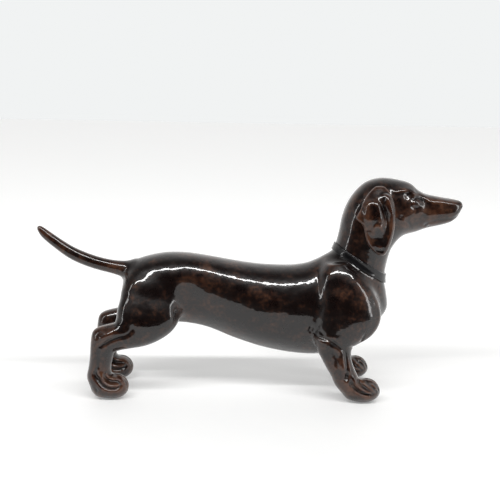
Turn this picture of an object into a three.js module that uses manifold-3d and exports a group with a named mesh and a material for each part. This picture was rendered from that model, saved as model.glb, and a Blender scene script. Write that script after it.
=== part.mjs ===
// A standing dachshund figurine in glazed ceramic, slip-cast in separate moulds and luted together.
// Millimetres. +X points to the nose, +Z up, Y across; the origin lies on the floor below the
// middle of the whole figure.

import * as THREE from 'three';
import { LoftGeometry } from 'three/addons/geometries/LoftGeometry.js';
import { mergeVertices } from 'three/addons/utils/BufferGeometryUtils.js';
import Module from 'manifold-3d';

// ---- Driving dimensions ----------------------------------------------------------------------

const HALF_LENGTH = 155;        // middle of the figure to the nose, and to the tip of the tail
const WALL = 7;                 // cast wall of the hollow body and head
const GAP = 0.3;                // joint line between two pieces
const REAR_TRACK = 46;          // between the middles of the rear paws
const FRONT_TRACK = 56;         // between the middles of the front paws
const COLLAR_PROUD = 1.3;       // how far the collar stands off the neck
const SPIGOT_LENGTH = 6;        // neck spigot that enters the body
const SPIGOT_WALL = 3;
const VENT = { radius: 3, x: 6, length: 60 };   // hole in the belly for the kiln gases
const TAIL_TENON = { radius: 3.2, length: 8 };
const TAIL_SOCKET_SPARE = 2;    // the tail's socket is this much deeper than its tenon
const REAR_TENON = { radius: 4, length: 9 };
const FRONT_TENON = { radius: 5, length: 9 };
const EAR_TENON = { radius: 2.5, length: 4, x: 90, y: 19, z: 147, buried: 2 };
const TENON_ROOT = 4;           // how far a tenon starts inside its own limb
const FLOOR_DEPTH = 20;         // thickness of the block that trims the soles flat

// Points round a section.
const BODY_COLUMNS = 22;
const COLLAR_COLUMNS = 32;
const HOLLOW_COLUMNS = 14;
const NECK_COLUMNS = 16;
const LIMB_COLUMNS = 14;
const THIN_COLUMNS = 12;
const PEG_SIDES = 12;

const SMALLEST = 0.4;           // no section is thinner than this on either side of its middle

const REAR_Y = REAR_TRACK / 2;
const FRONT_Y = FRONT_TRACK / 2;

// Rounded forms: the middle of an ellipsoid and its three half-sizes.
const EYE = { middle: [114.5, 11.6, 147.6], radii: [5, 3.4, 3.6], around: 14, down: 8 };
const NOSE = { middle: [151, 0, 141], radii: [3.9, 4.9, 3.9], around: 14, down: 8 };
const REAR_PAW = { middle: [-101.5, REAR_Y, 8.2], radii: [14.5, 9.3, 9.4], around: 16, down: 10 };
const FRONT_PAW = { middle: [81.5, FRONT_Y, 8.6], radii: [14, 9.6, 9.8], around: 16, down: 10 };

// ---- Shape rows ------------------------------------------------------------------------------
// A row is one cross-section, an ellipse in the plane that holds the two named points and the Y
// direction: [first x, first z, second x, second z, half-width, middle y].

// Rump to neck seam: point on the back, point on the belly or chest.
const BODY_ROWS = [
  [-95.5, 76, -95.5, 68, 4, 0],
  [-93.5, 88, -94, 57, 13, 0],
  [-88, 95.5, -89, 55, 18, 0],
  [-78, 100.5, -78, 54, 20.5, 0],
  [-62, 104, -62, 52.5, 21, 0],
  [-46, 104, -46, 51.5, 20, 0],
  [-30, 101.7, -30, 49, 20, 0],
  [-12, 98.5, -10, 42, 22, 0],
  [8, 96, 12, 35.5, 24, 0],
  [28, 95.4, 34, 31, 25, 0],
  [41, 97, 54, 30, 25, 0],
  [49, 100, 70, 34, 24.5, 0],
  [53.5, 102.4, 84, 42.5, 23, 0],
  [56, 104, 94, 53.5, 21, 0],
  [58, 105, 101.6, 64, 19.3, 0],
  [59.2, 106, 100.6, 75, 18, 0],
  [60.2, 107, 99, 83.5, 17.2, 0],
];

// The three rows under the collar: its lower edge, the neck seam and its upper edge.
const COLLAR_ROWS = [
  [60.2, 107, 99, 83.5, 17.2, 0],
  [61.2, 109.6, 98.8, 87, 17, 0],
  [62.2, 112.2, 98.8, 90.5, 16.9, 0],
];

// Neck seam to nose: point on the nape, skull and bridge, point on the throat and jaw.
const HEAD_ROWS = [
  [62.2, 112.2, 98.8, 90.5, 16.9, 0],
  [64.2, 121, 99.8, 99, 17, 0],
  [66, 132, 101.8, 107.5, 17.6, 0],
  [69.5, 142.5, 104.3, 113, 18, 0],
  [75.5, 151.5, 107.5, 117.3, 18.2, 0],
  [84, 158.6, 110.5, 119.7, 18, 0],
  [95, 161, 113.5, 120.7, 17.2, 0],
  [107, 159.7, 117, 121.5, 16, 0],
  [116, 157, 121, 122.4, 14.3, 0],
  [122, 152, 126, 124.5, 12, 0],
  [128, 149.2, 130.5, 126.3, 10.3, 0],
  [138, 147.2, 138, 127.4, 8.8, 0],
  [147, 145.8, 146, 129.3, 7.6, 0],
  [152.2, 144.7, 151, 132.3, 6, 0],
  [154.3, 143.3, 153.6, 136, 4, 0],
  [HALF_LENGTH, 141.5, HALF_LENGTH, 139, 1.5, 0],
];

const HOLLOW_SKULL_ROWS = 9;     // the hollow ends at this row, in front of the eyes

// Root to tip: point on the underside, point on the top.
const TAIL_ROWS = [
  [-84, 83.5, -84, 98, 7.2, 0],
  [-91, 84.8, -90.5, 97, 6.1, 0],
  [-100, 87.8, -99, 97.3, 4.8, 0],
  [-110.5, 90.4, -109, 99.3, 4.5, 0],
  [-121, 93.8, -118.5, 102.4, 4.4, 0],
  [-131.5, 98.8, -128.5, 106.8, 4.2, 0],
  [-141.5, 106, -138.2, 112.8, 3.8, 0],
  [-150.5, 113.6, -147, 119, 3.2, 0],
  [-154.3, 118.5, -151.6, 122, 2.2, 0],
  [-HALF_LENGTH, 120.8, -154.2, 122.4, 0.9, 0],
];

// Hip to the joint above the hock: point on the front edge, point on the rear edge.
const THIGH_ROWS = [
  [-56, 90, -84, 94, 9, 11],
  [-49, 82, -91, 88, 12, 14],
  [-47.5, 72, -95, 78, 13, 16.5],
  [-49.5, 61, -96.3, 69, 13.2, 19],
  [-55, 51.3, -97, 62, 12.2, 21],
  [-64, 44.2, -97.4, 59, 11, 22],
  [-75, 39.6, -97.2, 57.4, 9.9, REAR_Y],
  [-86, 37.7, -96.8, 56.6, 9.2, REAR_Y],
];

// Joint above the hock down to the heel: point on the front edge, point on the rear edge.
const HOCK_ROWS = [
  [-86, 37.7, -96.8, 56.6, 9.2, REAR_Y],
  [-92.5, 36.4, -103.5, 55, 8.3, REAR_Y],
  [-96.8, 34.4, -109.5, 53, 7.6, REAR_Y],
  [-98.2, 31.5, -113, 49.5, 7.1, REAR_Y],
  [-98.8, 28.5, -114, 42, 6.9, REAR_Y],
  [-99.4, 25, -114.5, 33, 7, REAR_Y],
  [-99.6, 20.5, -115.5, 24, 7.3, REAR_Y],
  [-98.5, 15, -116.8, 16, 7.8, REAR_Y],
  [-98, 9, -114.5, 9, 7.4, REAR_Y],
  [-99, 4, -112, 4, 5.6, REAR_Y],
];

// Where the tail's tenon stands on the rump.
const TAIL_JOINT = [-86.4, 84, -86.4, 97.5, 6.5, 0];

// Shoulder blade down to the joint below the elbow: point on the front edge, on the rear edge.
const SHOULDER_ROWS = [
  [70, 89, 54, 87, 6, 11],
  [82, 81, 50, 77, 11, 14],
  [90, 71, 47.5, 67, 13.3, 17.5],
  [91.5, 60, 46, 58, 13.8, 20.5],
  [87, 49.5, 45.5, 52, 12.3, 24.5],
  [75, 39.8, 47.4, 42, 10.1, FRONT_Y],
  [73.8, 35.8, 50.3, 33.5, 8.9, FRONT_Y],
];

// Joint below the elbow down to the wrist: point on the front edge, point on the rear edge.
const FORELEG_ROWS = [
  [73.8, 35.8, 50.3, 33.5, 8.9, FRONT_Y],
  [74.1, 31.5, 53, 29.8, 8.3, FRONT_Y],
  [75, 27, 56, 25.5, 7.6, FRONT_Y],
  [76.5, 22, 59.3, 19, 7.4, FRONT_Y],
  [80, 17, 62, 13, 7.8, FRONT_Y],
  [83, 10, 66, 8, 7.6, FRONT_Y],
  [82, 4, 71, 3.5, 5.6, FRONT_Y],
];

// Root on the skull down to the rounded tip: point on the front edge, point on the rear edge.
const EAR_ROWS = [
  [95, 156.5, 88, 157, 2.2, 13],
  [98, 151.7, 81.7, 152, 3, 17.5],
  [99.2, 145, 77.5, 143.5, 3.3, 19.2],
  [100.4, 136.5, 76.5, 134.5, 3.3, 20],
  [101.1, 128.5, 79.2, 128, 3.2, 20.2],
  [101.1, 121.5, 82, 121.5, 3, 20],
  [99.7, 115.5, 84.1, 115.5, 2.8, 19.8],
  [97.7, 110.3, 86.8, 110.3, 2.5, 19.6],
  [95.5, 106.7, 90.5, 106.7, 1.8, 19.4],
];

// ---- Materials -------------------------------------------------------------------------------

const brownGlaze = new THREE.MeshStandardMaterial({ color: 0x3a2319, roughness: 0.16, metalness: 0 });
const blackGlaze = new THREE.MeshStandardMaterial({ color: 0x090909, roughness: 0.1, metalness: 0 });

// ---- Solids ----------------------------------------------------------------------------------

const wasm = await Module();
wasm.setup();

function solidOf(geometry) {
  geometry.deleteAttribute('normal');
  geometry.deleteAttribute('uv');
  const merged = mergeVertices(geometry, 1e-4);
  return new wasm.Manifold(new wasm.Mesh({
    numProp: 3,
    vertProperties: new Float32Array(merged.attributes.position.array),
    triVerts: new Uint32Array(merged.index.array),
  }));
}

function meshOf(name, solid, material) {
  const { vertProperties, triVerts } = solid.getMesh();
  const geometry = new THREE.BufferGeometry();
  geometry.setAttribute('position', new THREE.BufferAttribute(new Float32Array(vertProperties), 3));
  geometry.setIndex(new THREE.BufferAttribute(new Uint32Array(triVerts), 1));
  geometry.computeVertexNormals();
  const mesh = new THREE.Mesh(geometry, material);
  mesh.name = name;
  return mesh;
}

// An ellipse section; grow moves its outline outward, or inward where it is negative.
function section([ax, az, bx, bz, halfWidth, y], columns, grow) {
  const middle = new THREE.Vector3((ax + bx) / 2, y, (az + bz) / 2);
  const reach = new THREE.Vector3((ax - bx) / 2, 0, (az - bz) / 2);
  reach.setLength(Math.max(reach.length() + grow, SMALLEST));
  const width = Math.max(halfWidth + grow, SMALLEST);
  return Array.from({ length: columns }, (_, i) => {
    const angle = (i / columns) * Math.PI * 2;
    return new THREE.Vector3(
      middle.x + reach.x * Math.sin(angle),
      middle.y + width * Math.cos(angle),
      middle.z + reach.z * Math.sin(angle),
    );
  });
}

// A closed solid through the rows, smoothed along its length by Catmull-Rom curves.
function rowLoft(rows, { side = 1, columns, perRow = 2, grow = 0 }) {
  const track = (pick) => new THREE.CatmullRomCurve3(rows.map(pick));
  const first = track((row) => new THREE.Vector3(row[0], row[5] * side, row[1]));
  const second = track((row) => new THREE.Vector3(row[2], row[4], row[3]));
  const steps = (rows.length - 1) * perRow;
  const sections = [];
  for (let i = 0; i <= steps; i += 1) {
    const a = first.getPoint(i / steps);
    const b = second.getPoint(i / steps);
    sections.push(section([a.x, a.z, b.x, b.z, b.y, a.y], columns, grow));
  }
  return solidOf(new LoftGeometry(sections, { capStart: true, capEnd: true }));
}

// A rounded form, or its mirror image on the other side.
function ellipsoid({ middle: [x, y, z], radii, around, down }, side = 1) {
  const geometry = new THREE.SphereGeometry(1, around, down);
  geometry.scale(...radii);
  geometry.translate(x, y * side, z);
  return solidOf(geometry);
}

// A round peg that starts at one point and runs along a direction.
function peg(start, direction, radius, length) {
  const along = direction.clone().normalize();
  const geometry = new THREE.CylinderGeometry(radius, radius, length, PEG_SIDES);
  const turn = new THREE.Quaternion().setFromUnitVectors(new THREE.Vector3(0, 1, 0), along);
  geometry.applyQuaternion(turn);
  geometry.translate(...start.clone().addScaledVector(along, length / 2).toArray());
  return solidOf(geometry);
}

// The middle of a row, and the direction square to its section that points back into the body.
function jointOf([ax, az, bx, bz, , y], side) {
  const middle = new THREE.Vector3((ax + bx) / 2, y * side, (az + bz) / 2);
  return { middle, inward: new THREE.Vector3(-(az - bz), 0, ax - bx).normalize() };
}

// The same rows with the joint end moved along the limb by half the joint gap.
function shifted(row, distance) {
  const { inward } = jointOf(row, 1);
  const [ax, az, bx, bz, width, y] = row;
  const dx = inward.x * distance;
  const dz = inward.z * distance;
  return [ax + dx, az + dz, bx + dx, bz + dz, width, y];
}

function aboveFloor(solid) {
  const below = new THREE.BoxGeometry(4 * HALF_LENGTH, HALF_LENGTH, FLOOR_DEPTH);
  below.translate(0, 0, -FLOOR_DEPTH / 2);
  return solid.subtract(solidOf(below));
}

// A tenon on a limb, buried a little in the limb.
function tenon(row, side, { radius, length }) {
  const { middle, inward } = jointOf(row, side);
  return peg(middle.addScaledVector(inward, -TENON_ROOT), inward, radius, length + TENON_ROOT);
}

// The socket that takes a tenon.
function socket(row, side, { radius, length }) {
  return tenon(row, side, { radius: radius + GAP, length: length + GAP });
}

// ---- Shared forms ----------------------------------------------------------------------------

const seamRow = COLLAR_ROWS[1];
const bodyRowsToSeam = [...BODY_ROWS, shifted(seamRow, GAP / 2)];
const headRowsFromSeam = [shifted(seamRow, -GAP / 2), ...HEAD_ROWS];
const neckRows = [...BODY_ROWS.slice(-2), ...COLLAR_ROWS.slice(1), HEAD_ROWS[1]];
const hipJoint = HOCK_ROWS[0];
const elbowJoint = FORELEG_ROWS[0];
const bodyClearance = rowLoft(bodyRowsToSeam, { columns: BODY_COLUMNS, grow: GAP });
const headClearance = rowLoft(headRowsFromSeam, { columns: BODY_COLUMNS, grow: GAP });

// ---- Pieces ----------------------------------------------------------------------------------

function limbToJoint(rows, side) {
  const whole = [...rows.slice(0, -1), shifted(rows.at(-1), GAP / 2)];
  return rowLoft(whole, { side, columns: LIMB_COLUMNS, perRow: 1 });
}

function limbFromJoint(rows, side) {
  const whole = [shifted(rows[0], -GAP / 2), ...rows.slice(1)];
  return rowLoft(whole, { side, columns: LIMB_COLUMNS, perRow: 1 });
}

// The inside of the neck from just below the collar to just above it, inset from the outer surface.
function neckCore(rows, inset) {
  return rowLoft(rows, { columns: NECK_COLUMNS, perRow: 1, grow: -inset });
}

function bodyHollow() {
  const trunk = rowLoft(BODY_ROWS.slice(3), { columns: HOLLOW_COLUMNS, perRow: 1, grow: -WALL });
  return trunk.add(neckCore(neckRows, WALL));
}

function torso() {
  let solid = rowLoft(bodyRowsToSeam, { columns: BODY_COLUMNS });
  for (const side of [-1, 1]) {
    solid = solid.add(limbToJoint(THIGH_ROWS, side));
    solid = solid.add(limbToJoint(SHOULDER_ROWS, side));
  }
  solid = solid.subtract(bodyHollow());
  for (const side of [-1, 1]) {
    solid = solid.subtract(socket(hipJoint, side, REAR_TENON));
    solid = solid.subtract(socket(elbowJoint, side, FRONT_TENON));
  }
  const tailSocket = { ...TAIL_TENON, length: TAIL_TENON.length + TAIL_SOCKET_SPARE };
  const up = new THREE.Vector3(0, 0, 1);
  const vent = peg(new THREE.Vector3(VENT.x, 0, 0), up, VENT.radius, VENT.length);
  return solid.subtract(socket(TAIL_JOINT, 1, tailSocket)).subtract(vent);
}

// The spigot is the part of the neck core above its lower edge.
function neckSpigot() {
  const { middle, inward } = jointOf(seamRow, 1);
  const below = middle.clone().addScaledVector(inward, SPIGOT_LENGTH);
  const cutter = peg(below, inward, HALF_LENGTH / 2, HALF_LENGTH / 2);
  return neckCore(neckRows, WALL + GAP).subtract(cutter);
}

function headHollow() {
  const neck = neckCore([BODY_ROWS.at(-3), ...neckRows], WALL + GAP + SPIGOT_WALL);
  const skullRows = HEAD_ROWS.slice(0, HOLLOW_SKULL_ROWS);
  const skull = rowLoft(skullRows, { columns: HOLLOW_COLUMNS, perRow: 1, grow: -WALL });
  return neck.add(skull);
}

function head() {
  let solid = rowLoft(headRowsFromSeam, { columns: BODY_COLUMNS }).add(neckSpigot());
  solid = solid.subtract(headHollow());
  for (const side of [-1, 1]) {
    solid = solid.add(ellipsoid(EYE, side));
    solid = solid.subtract(earTenon(side, GAP));
  }
  return solid.add(ellipsoid(NOSE));
}

function earTenon(side, clearance) {
  const { radius, length, x, y, z, buried } = EAR_TENON;
  const inward = new THREE.Vector3(0, -side, 0);
  return peg(new THREE.Vector3(x, y * side, z), inward, radius + clearance, length + clearance + buried);
}

function ear(side) {
  const leaf = rowLoft(EAR_ROWS, { side, columns: THIN_COLUMNS, perRow: 1 });
  return leaf.subtract(headClearance).add(earTenon(side, 0));
}

function tail() {
  const free = rowLoft(TAIL_ROWS, { columns: THIN_COLUMNS, perRow: 1 }).subtract(bodyClearance);
  return free.add(tenon(TAIL_JOINT, 1, TAIL_TENON));
}

function collar() {
  const band = { columns: COLLAR_COLUMNS, perRow: 1 };
  const outer = rowLoft(COLLAR_ROWS, { ...band, grow: COLLAR_PROUD + GAP });
  return outer.subtract(rowLoft(neckRows, { ...band, grow: GAP }));
}

function rearLeg(side) {
  const leg = limbFromJoint(HOCK_ROWS, side).add(ellipsoid(REAR_PAW, side)).subtract(bodyClearance);
  return aboveFloor(leg).add(tenon(hipJoint, side, REAR_TENON));
}

function frontLeg(side) {
  const leg = limbFromJoint(FORELEG_ROWS, side).add(ellipsoid(FRONT_PAW, side)).subtract(bodyClearance);
  return aboveFloor(leg).add(tenon(elbowJoint, side, FRONT_TENON));
}

// ---- Assembly --------------------------------------------------------------------------------

const figurine = new THREE.Group();
figurine.add(meshOf('torso', torso(), brownGlaze));
figurine.add(meshOf('head', head(), brownGlaze));
figurine.add(meshOf('tail', tail(), brownGlaze));
figurine.add(meshOf('collar', collar(), blackGlaze));
for (const [name, side] of [['right', -1], ['left', 1]]) {
  figurine.add(meshOf(`ear_${name}`, ear(side), brownGlaze));
  figurine.add(meshOf(`front_${name}_leg`, frontLeg(side), brownGlaze));
  figurine.add(meshOf(`rear_${name}_leg`, rearLeg(side), brownGlaze));
}

export default figurine;
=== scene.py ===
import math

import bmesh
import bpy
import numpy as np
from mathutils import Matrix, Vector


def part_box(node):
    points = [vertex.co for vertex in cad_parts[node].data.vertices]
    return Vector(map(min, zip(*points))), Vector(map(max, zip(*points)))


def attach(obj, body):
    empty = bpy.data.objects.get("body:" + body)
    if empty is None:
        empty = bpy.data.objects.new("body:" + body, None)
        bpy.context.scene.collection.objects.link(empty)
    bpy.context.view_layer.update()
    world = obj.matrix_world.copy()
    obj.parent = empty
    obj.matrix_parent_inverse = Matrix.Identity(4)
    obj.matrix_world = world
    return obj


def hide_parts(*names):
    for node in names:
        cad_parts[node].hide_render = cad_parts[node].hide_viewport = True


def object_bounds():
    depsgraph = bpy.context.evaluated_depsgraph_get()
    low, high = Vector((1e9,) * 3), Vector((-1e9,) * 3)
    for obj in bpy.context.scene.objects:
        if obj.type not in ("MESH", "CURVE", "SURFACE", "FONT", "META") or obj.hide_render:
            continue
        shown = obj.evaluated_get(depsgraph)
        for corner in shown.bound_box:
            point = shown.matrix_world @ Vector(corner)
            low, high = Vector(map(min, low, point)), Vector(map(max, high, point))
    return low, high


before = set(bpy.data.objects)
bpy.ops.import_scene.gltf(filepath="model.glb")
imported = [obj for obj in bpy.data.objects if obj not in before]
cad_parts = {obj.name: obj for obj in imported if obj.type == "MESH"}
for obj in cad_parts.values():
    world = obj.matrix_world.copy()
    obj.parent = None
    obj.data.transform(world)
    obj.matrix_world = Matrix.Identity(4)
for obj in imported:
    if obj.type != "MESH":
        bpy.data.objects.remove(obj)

# A standing dachshund figurine in glossy brown glaze with a black collar. The forms are modelled
# like clay: lofts, strokes and balls are laid into blocks of signed distances and blended there.
# Each casting of the real figurine has its own block, which is skinned and then cut off cleanly
# at its joints. Clay is worked in millimetres, Blender in metres.

import openvdb
from mathutils import Matrix, Vector

CAD_BOX = [[float(v) for v in corner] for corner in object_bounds()]
MM = 0.001


def middle_y(node):
    """The middle of a CAD node across the figurine, in millimetres."""
    low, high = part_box(node)
    return (low[1] + high[1]) / 2 / MM


COARSE = 0.6      # size of a clay cell in the torso
FINE = 0.42      # and in everything with small detail
BAND = 6.0                               # how far from a surface its distance is known
TIP_X = CAD_BOX[1][0] / MM               # the nose; the tip of the tail is as far behind
REAR_Y = middle_y("rear_left_leg")
FRONT_Y = middle_y("front_left_leg")
COLLAR_PROUD = 1.4                       # how far the collar stands off the neck
COLLAR_COLUMNS = 240
SOFTENING = 0.9                          # takes the facets out of a lofted form
THIGH_BLEND = 5
SHOULDER_BLEND = 4
TAIL_BLEND = 3.5
EAR_BLEND = 1.2
VENT = [(6, 0, 20, 3), (6, 0, 44, 3)]    # a bar through the hole in the belly


# ---- Clay ------------------------------------------------------------------------------------

class Clay:
    """A block of signed distances to a surface, negative inside it."""

    def __init__(self, low, high, cell):
        self.cell = cell
        self.first = np.floor(np.array(low) / cell).astype(int)
        self.count = np.ceil(np.array(high) / cell).astype(int) - self.first + 1
        self.field = np.full(self.count, BAND, dtype=np.float32)

    def axes(self, a=(0, 0, 0), b=None):
        """Coordinates of the cells from corner a to corner b."""
        b = self.count if b is None else b
        lines = [(np.arange(i, j) + f) * np.float32(self.cell) for i, j, f in zip(a, b, self.first)]
        return np.meshgrid(*lines, indexing="ij", sparse=True)

    def blend_in(self, shape, blend, sign):
        a = np.floor((shape.low - BAND) / self.cell).astype(int) - self.first
        b = np.ceil((shape.high + BAND) / self.cell).astype(int) - self.first + 1
        a, b = np.clip(a, 0, self.count), np.clip(b, 0, self.count)
        if (b <= a).any():
            return
        window = tuple(slice(i, j) for i, j in zip(a, b))
        distance = shape.distance(self.axes(a, b), a + self.first, self.cell)
        self.field[window] = sign * smooth_min(sign * self.field[window], distance, blend)

    def add(self, shape, blend=1.0):
        """Lays a shape on; blend is how wide the fillet between the two is."""
        self.blend_in(shape, blend, 1)

    def carve(self, shape, blend=1.0):
        """Takes a shape out, with edges as round as the blend is wide."""
        self.blend_in(shape, blend, -1)

    def emboss(self, path, side, beyond=0.0, power=2):
        """Raises or presses in a line drawn on the side of the form. Points of the path are
        x, z, width and height, and only the clay beyond a distance from the middle is touched."""
        line = catmull_rom(np.array(path, dtype=float), (len(path) - 1) * 5).astype(np.float32)
        margin = 2.2 * line[:, 2].max()
        low = np.floor((line[:, :2].min(0) - margin) / self.cell).astype(int) - self.first[[0, 2]]
        high = np.ceil((line[:, :2].max(0) + margin) / self.cell).astype(int) - self.first[[0, 2]]
        low, high = np.clip(low, 0, self.count[[0, 2]]), np.clip(high, 0, self.count[[0, 2]])
        if (high <= low).any():
            return
        x, y, z = self.axes((low[0], 0, low[1]), (high[0], self.count[1], high[1]))
        best, height = np.float32(1e3), np.float32(0)
        for a, b in zip(line[:-1], line[1:]):
            dx, dz = b[0] - a[0], b[1] - a[1]
            t = np.clip(((x - a[0]) * dx + (z - a[1]) * dz) / max(dx * dx + dz * dz, 1e-6), 0, 1)
            away = np.hypot(x - a[0] - t * dx, z - a[1] - t * dz) / (a[2] + (b[2] - a[2]) * t)
            height = np.where(away < best, a[3] + (b[3] - a[3]) * t, height)
            best = np.minimum(away, best)
        shown = np.clip((y * side - beyond) / 2 + 0.5, 0, 1)
        self.field[low[0]:high[0], :, low[1]:high[1]] -= height * np.exp(-best ** power) * shown

    def soften(self, reach):
        """Takes the facets of the lofts out of the surface; reach is in millimetres."""
        for _ in range(round(2 * (reach / self.cell) ** 2)):
            for axis in range(3):
                cells = np.moveaxis(self.field, axis, 0)
                cells[1:-1] = (cells[:-2] + 2 * cells[1:-1] + cells[2:]) / 4

    def sample(self, values, places):
        """Values of a block at places in metres, between its cells."""
        at = places / (MM * self.cell) - self.first
        base = np.clip(np.floor(at).astype(int), 0, self.count - 2)
        t = np.clip(at - base, 0, 1)
        total = 0
        for corner in np.ndindex(2, 2, 2):
            weight = np.prod(np.where(corner, t, 1 - t), axis=1)
            i, j, k = (base + corner).T
            total = total + weight * values[i, j, k]
        return total


def smooth_min(a, b, blend):
    """The union of two distances, with a fillet where both are near."""
    h = np.clip(0.5 + 0.5 * (b - a) / blend, 0, 1)
    return b + (a - b) * h - blend * h * (1 - h)


class Loft:
    """A closed skin through rows, as a distance."""

    def __init__(self, rows, side=1, columns=128, per_row=9):
        self.points, self.quads, self.caps = loft_mesh(rows, side, columns, per_row)
        self.low = self.points.min(0)
        self.high = self.points.max(0)

    def distance(self, grid, first, cell):
        scale = openvdb.createLinearTransform(voxelSize=cell)
        level = openvdb.FloatGrid.createLevelSetFromPolygons(
            self.points, triangles=self.caps, quads=self.quads, transform=scale, halfWidth=BAND / cell)
        values = np.empty([axis.size for axis in grid], dtype=np.float32)
        level.copyToArray(values, ijk=tuple(int(v) for v in first))
        return values


class Stroke:
    """A round bar along a smooth path of points, each with its own radius."""

    def __init__(self, path, side=1, samples=6):
        path = np.array(path, dtype=float)
        path[:, 1] *= side
        points = catmull_rom(path, (len(path) - 1) * samples)
        self.points = points.astype(np.float32)
        self.low = (points[:, :3] - points[:, 3:]).min(0)
        self.high = (points[:, :3] + points[:, 3:]).max(0)

    def distance(self, grid, first, cell):
        best = None
        for a, b in zip(self.points[:-1], self.points[1:]):
            along = b[:3] - a[:3]
            offset = [axis - start for axis, start in zip(grid, a)]
            reach = sum(o * d for o, d in zip(offset, along)) / max(float(along @ along), 1e-6)
            reach = np.clip(reach, 0, 1)
            gap = sum((o - reach * d) ** 2 for o, d in zip(offset, along))
            away = np.sqrt(gap) - (a[3] + (b[3] - a[3]) * reach)
            best = away if best is None else np.minimum(best, away)
        return best


class Ball:
    """An ellipsoid, tilted about the Y axis by an angle in degrees."""

    def __init__(self, middle, radii, side=1, tilt=0.0):
        self.middle = np.array(middle, dtype=float) * (1, side, 1)
        self.radii = np.array(radii, dtype=float)
        self.turn = math.radians(tilt)
        self.low = self.middle - self.radii.max()
        self.high = self.middle + self.radii.max()

    def distance(self, grid, first, cell):
        x, y, z = [axis - np.float32(m) for axis, m in zip(grid, self.middle)]
        c, s = math.cos(self.turn), math.sin(self.turn)
        x, z = x * c + z * s, z * c - x * s
        rx, ry, rz = self.radii
        near = np.sqrt((x / rx) ** 2 + (y / ry) ** 2 + (z / rz) ** 2)
        slope = np.sqrt((x / rx ** 2) ** 2 + (y / ry ** 2) ** 2 + (z / rz ** 2) ** 2)
        return near * (near - 1) / np.maximum(slope, 1e-4)


def catmull_rom(points, steps):
    """Points along the smooth curve through the given points, with any number of columns."""
    ends = np.vstack([2 * points[0] - points[1], points, 2 * points[-1] - points[-2]])
    place = np.linspace(0, len(points) - 1, steps + 1)
    span = np.minimum(place.astype(int), len(points) - 2)
    t = (place - span)[:, None]
    p0, p1, p2, p3 = ends[span], ends[span + 1], ends[span + 2], ends[span + 3]
    return 0.5 * (2 * p1 + (p2 - p0) * t + (2 * p0 - 5 * p1 + 4 * p2 - p3) * t ** 2
                  + (3 * p1 - p0 - 3 * p2 + p3) * t ** 3)


def loft_rings(rows, side, columns, per_row, grow=0.0):
    """Rings through the rows. A row is the two ends of its section in the XZ plane, its
    half-width, its middle y, how much wider its first end is, and how square it is."""
    table = np.array([(list(row) + [0.0, 0.0])[:8] for row in rows], dtype=float)
    path = catmull_rom(table, (len(rows) - 1) * per_row)
    ax, az, bx, bz, width, y, taper, square = path.T[:, :, None]
    turn = np.linspace(0, 2 * np.pi, columns, endpoint=False)[None, :]
    power = 1 - square / 2
    up = np.sign(np.sin(turn)) * np.abs(np.sin(turn)) ** power
    across = np.sign(np.cos(turn)) * np.abs(np.cos(turn)) ** power * (1 + taper * up)
    reach = np.hypot(ax - bx, az - bz) / 2
    longer = 1 + grow / np.maximum(reach, 1e-3)
    px = (ax + bx) / 2 + (ax - bx) / 2 * up * longer
    pz = (az + bz) / 2 + (az - bz) / 2 * up * longer
    py = y * side + (width + grow) * across
    return np.stack([px, py, pz], axis=-1)


def ring_quads(rings, columns):
    """Quads between neighbouring rings of a loft."""
    j = np.arange(columns)
    k = (j + 1) % columns
    rows = []
    for i in range(rings - 1):
        low, high = i * columns, (i + 1) * columns
        rows.append(np.stack([low + j, low + k, high + k, high + j], axis=1))
    return np.vstack(rows)


def loft_mesh(rows, side, columns, per_row):
    """Points, quads and end fans of the closed loft through the rows."""
    rings = loft_rings(rows, side, columns, per_row)
    middles = rings.mean(axis=1)
    points = np.vstack([rings.reshape(-1, 3), middles[:1], middles[-1:]]).astype(np.float32)
    j = np.arange(columns)
    k = (j + 1) % columns
    first = np.full(columns, len(points) - 2)
    top = (len(rings) - 1) * columns
    start = np.stack([first, k, j], axis=1)
    end = np.stack([first + 1, top + j, top + k], axis=1)
    caps = np.vstack([start, end])
    return points, ring_quads(len(rings), columns).astype(np.uint32), caps.astype(np.uint32)


# ---- Big forms -------------------------------------------------------------------------------
# Rows of [first x, first z, second x, second z, half-width, middle y, taper, squareness].

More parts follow.
